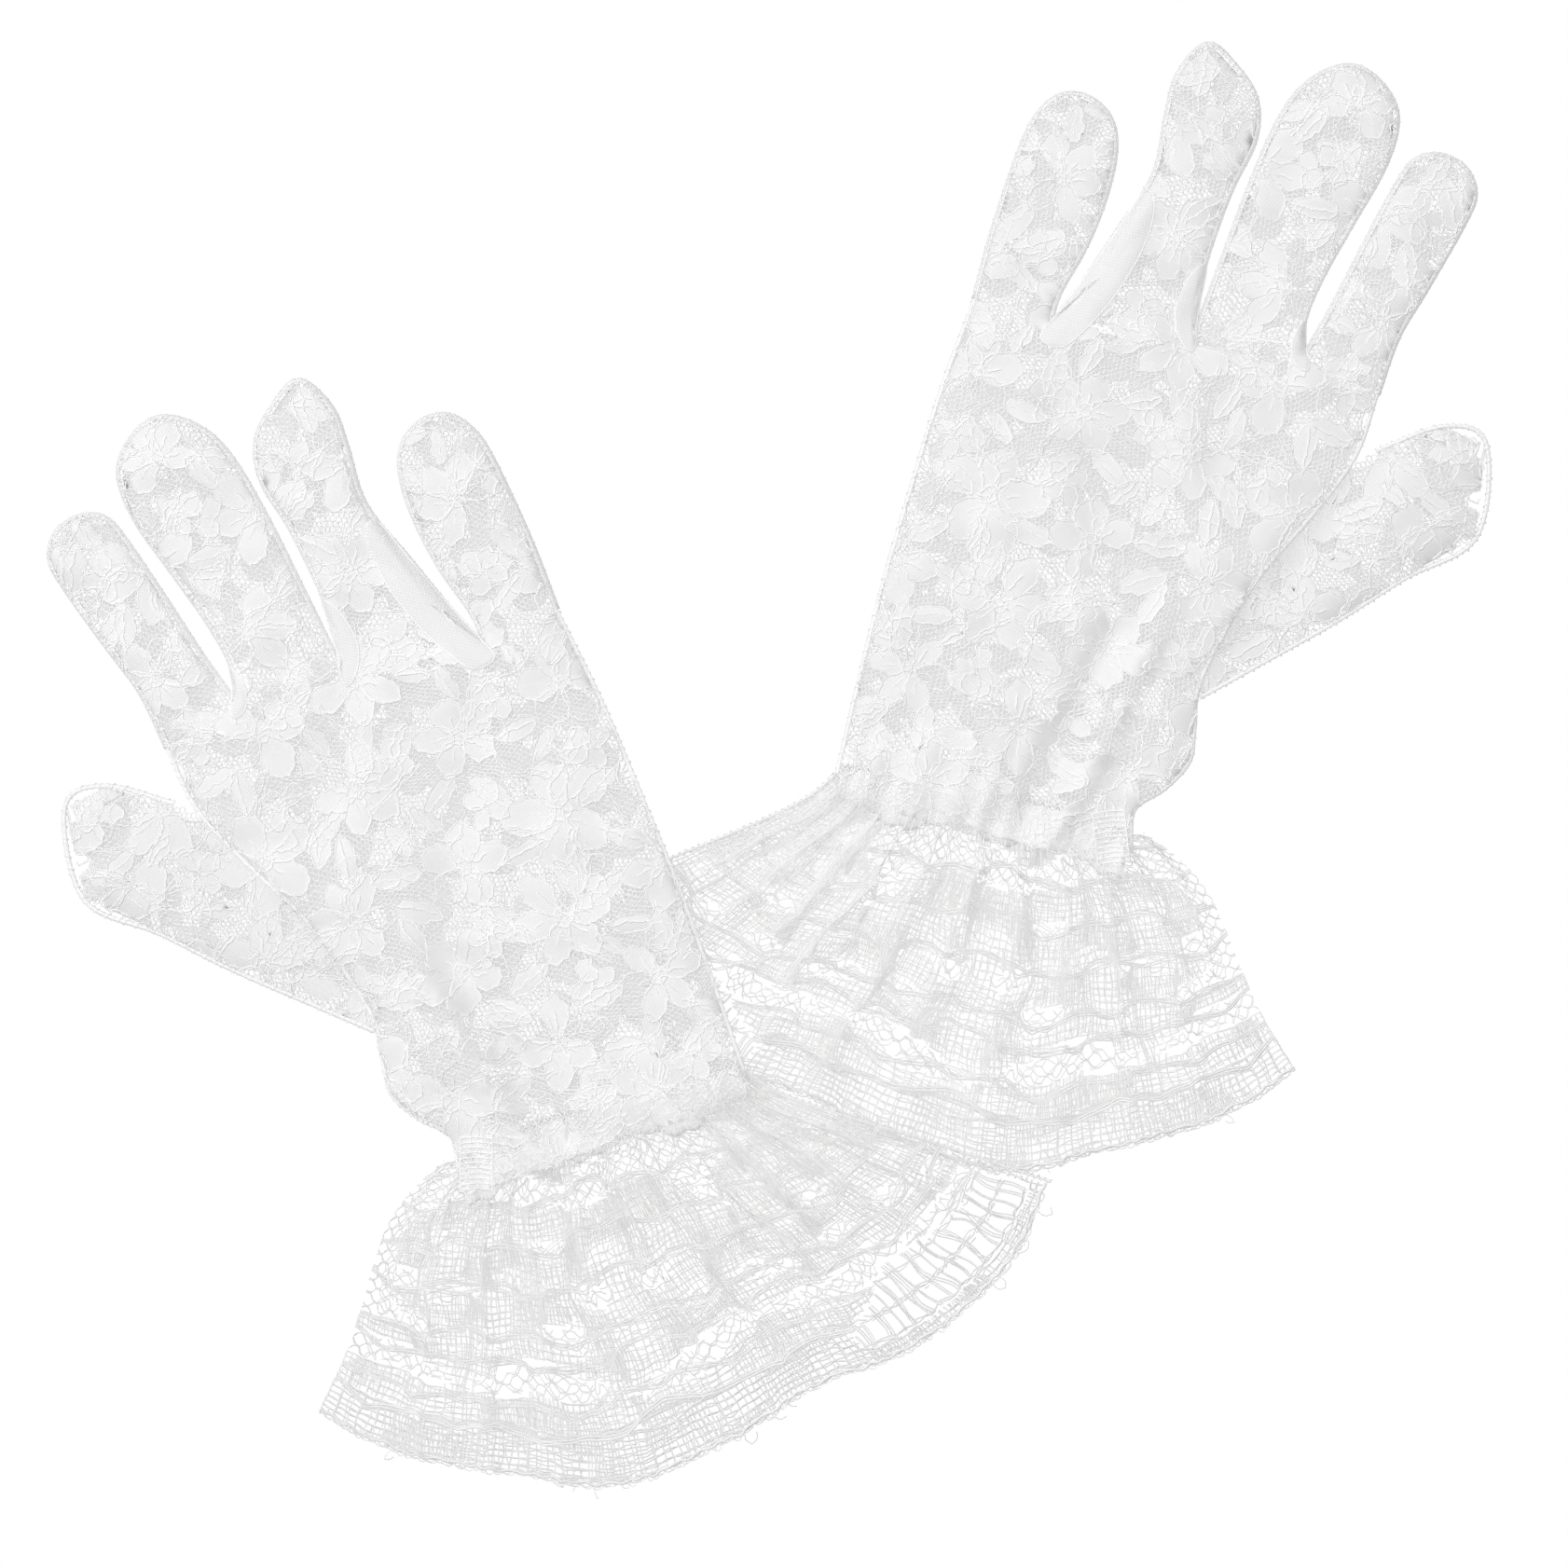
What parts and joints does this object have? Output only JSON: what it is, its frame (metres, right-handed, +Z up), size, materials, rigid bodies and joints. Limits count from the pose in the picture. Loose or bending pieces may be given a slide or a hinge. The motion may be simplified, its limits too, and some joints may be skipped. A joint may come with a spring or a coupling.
{
  "type": "lace wedding gloves",
  "caption": "Short five-finger lace gloves for a bride, with an elastic wrist and a gathered lace ruffle, lying crossed and palm down.",
  "frame": {"origin": "middle of the pair's box, on the table it lies on", "axes": "+Z up from the table; +Y towards the fingertips; +X towards the left-hand glove, which lies on the right"},
  "size_m": [0.305, 0.3074, 0.016],
  "materials": {
    "floral_lace": "stretch floral lace: fine hexagonal net with dense woven flowers outlined in raised cord, white",
    "filet_ruffle_lace": "open filet lace with woven blocks, scallops and ladder stitches, white",
    "fourchette_tulle": "dense smooth stretch tulle, white",
    "overlock_thread": "overlocked polyester thread, white",
    "wrist_elastic": "narrow gathered elastic, white",
    "gathered_heading": "gathered raw upper edge of the ruffle with fuzzy loose threads, white",
    "picot_hem": "dense woven hem band with a picot edge, white"
  },
  "bodies": {
    "right_thumb": {"right_thumb_back": "floral_lace", "right_thumb_palm": "floral_lace", "right_thumb_seam": "fourchette_tulle"},
    "right_index": {"right_index_back": "floral_lace", "right_index_palm": "floral_lace", "right_index_fourchette": "fourchette_tulle"},
    "right_middle": {"right_middle_back": "floral_lace", "right_middle_palm": "floral_lace", "right_middle_fourchette": "fourchette_tulle"},
    "right_ring": {"right_ring_back": "floral_lace", "right_ring_palm": "floral_lace", "right_ring_fourchette": "fourchette_tulle"},
    "right_little": {"right_little_back": "floral_lace", "right_little_palm": "floral_lace", "right_little_fourchette": "fourchette_tulle"},
    "right_ruffle": {"right_ruffle_top": "filet_ruffle_lace", "right_ruffle_bottom": "filet_ruffle_lace", "right_ruffle_hem": "picot_hem", "right_ruffle_side_seam": "overlock_thread"},
    "right_hand": {"right_back_panel": "floral_lace", "right_palm_panel": "floral_lace", "right_little_side_seam": "overlock_thread", "right_index_side_seam": "overlock_thread", "right_thumb_gusset": "fourchette_tulle", "right_wrist_elastic": "wrist_elastic", "right_ruffle_heading": "gathered_heading", "right_web_index_middle": "fourchette_tulle", "right_web_middle_ring": "fourchette_tulle", "right_web_ring_little": "fourchette_tulle"},
    "left_thumb": {"left_thumb_back": "floral_lace", "left_thumb_palm": "floral_lace", "left_thumb_seam": "fourchette_tulle"},
    "left_index": {"left_index_back": "floral_lace", "left_index_palm": "floral_lace", "left_index_fourchette": "fourchette_tulle"},
    "left_middle": {"left_middle_back": "floral_lace", "left_middle_palm": "floral_lace", "left_middle_fourchette": "fourchette_tulle"},
    "left_ring": {"left_ring_back": "floral_lace", "left_ring_palm": "floral_lace", "left_ring_fourchette": "fourchette_tulle"},
    "left_little": {"left_little_back": "floral_lace", "left_little_palm": "floral_lace", "left_little_fourchette": "fourchette_tulle"},
    "left_ruffle": {"left_ruffle_top": "filet_ruffle_lace", "left_ruffle_bottom": "filet_ruffle_lace", "left_ruffle_hem": "picot_hem", "left_ruffle_side_seam": "overlock_thread"},
    "left_hand": {"left_back_panel": "floral_lace", "left_palm_panel": "floral_lace", "left_little_side_seam": "overlock_thread", "left_index_side_seam": "overlock_thread", "left_thumb_gusset": "fourchette_tulle", "left_wrist_elastic": "wrist_elastic", "left_ruffle_heading": "gathered_heading", "left_web_index_middle": "fourchette_tulle", "left_web_middle_ring": "fourchette_tulle", "left_web_ring_little": "fourchette_tulle"}
  },
  "joints": [
    {"name": "right_glove_lift", "type": "slide", "parent": "left_ruffle", "child": "right_ruffle", "axis": [0, 0, 1], "range_m": [0, 0.12]},
    {"name": "right_wrist_bend", "type": "hinge", "parent": "right_ruffle", "child": "right_hand", "pos_m": [-0.03674, -0.07288, 0.00946], "axis": [0.9815, 0.1869, 0.0411], "range_deg": [0, 60]},
    {"name": "right_index_bend", "type": "hinge", "parent": "right_hand", "child": "right_index", "pos_m": [-0.12132, 0.00811, 0.00592], "axis": [0.8519, 0.5225, 0.0357], "range_deg": [-75, 75]},
    {"name": "right_middle_bend", "type": "hinge", "parent": "right_hand", "child": "right_middle", "pos_m": [-0.10355, 0.01799, 0.00666], "axis": [0.8941, 0.4462, 0.0375], "range_deg": [-75, 75]},
    {"name": "right_ring_bend", "type": "hinge", "parent": "right_hand", "child": "right_ring", "pos_m": [-0.07974, 0.02654, 0.00766], "axis": [0.898, 0.4384, 0.0376], "range_deg": [-75, 75]},
    {"name": "right_little_bend", "type": "hinge", "parent": "right_hand", "child": "right_little", "pos_m": [-0.05517, 0.03216, 0.00869], "axis": [0.9231, 0.3827, 0.0387], "range_deg": [-75, 75]},
    {"name": "right_thumb_bend", "type": "hinge", "parent": "right_hand", "child": "right_thumb", "pos_m": [-0.10749, -0.03403, 0.0065], "axis": [-0.6102, 0.7918, -0.0256], "range_deg": [-75, 75]},
    {"name": "left_wrist_bend", "type": "hinge", "parent": "left_ruffle", "child": "left_hand", "pos_m": [0.0451, -0.00663, 0.0045], "axis": [0.9965, -0.0832, 0], "range_deg": [-60, 60]},
    {"name": "left_index_bend", "type": "hinge", "parent": "left_hand", "child": "left_index", "pos_m": [0.12082, 0.08276, 0.0045], "axis": [0.9026, -0.4305, 0], "range_deg": [-75, 75]},
    {"name": "left_middle_bend", "type": "hinge", "parent": "left_hand", "child": "left_middle", "pos_m": [0.10209, 0.09073, 0.0045], "axis": [0.9367, -0.3502, 0], "range_deg": [-75, 75]},
    {"name": "left_ring_bend", "type": "hinge", "parent": "left_hand", "child": "left_ring", "pos_m": [0.0775, 0.09675, 0.0045], "axis": [0.9397, -0.342, 0], "range_deg": [-75, 75]},
    {"name": "left_little_bend", "type": "hinge", "parent": "left_hand", "child": "left_little", "pos_m": [0.05246, 0.09977, 0.0045], "axis": [0.9588, -0.284, 0], "range_deg": [-75, 75]},
    {"name": "left_thumb_bend", "type": "hinge", "parent": "left_hand", "child": "left_thumb", "pos_m": [0.11146, 0.03941, 0.0045], "axis": [-0.5246, -0.8513, 0], "range_deg": [-75, 75]}
  ]
}
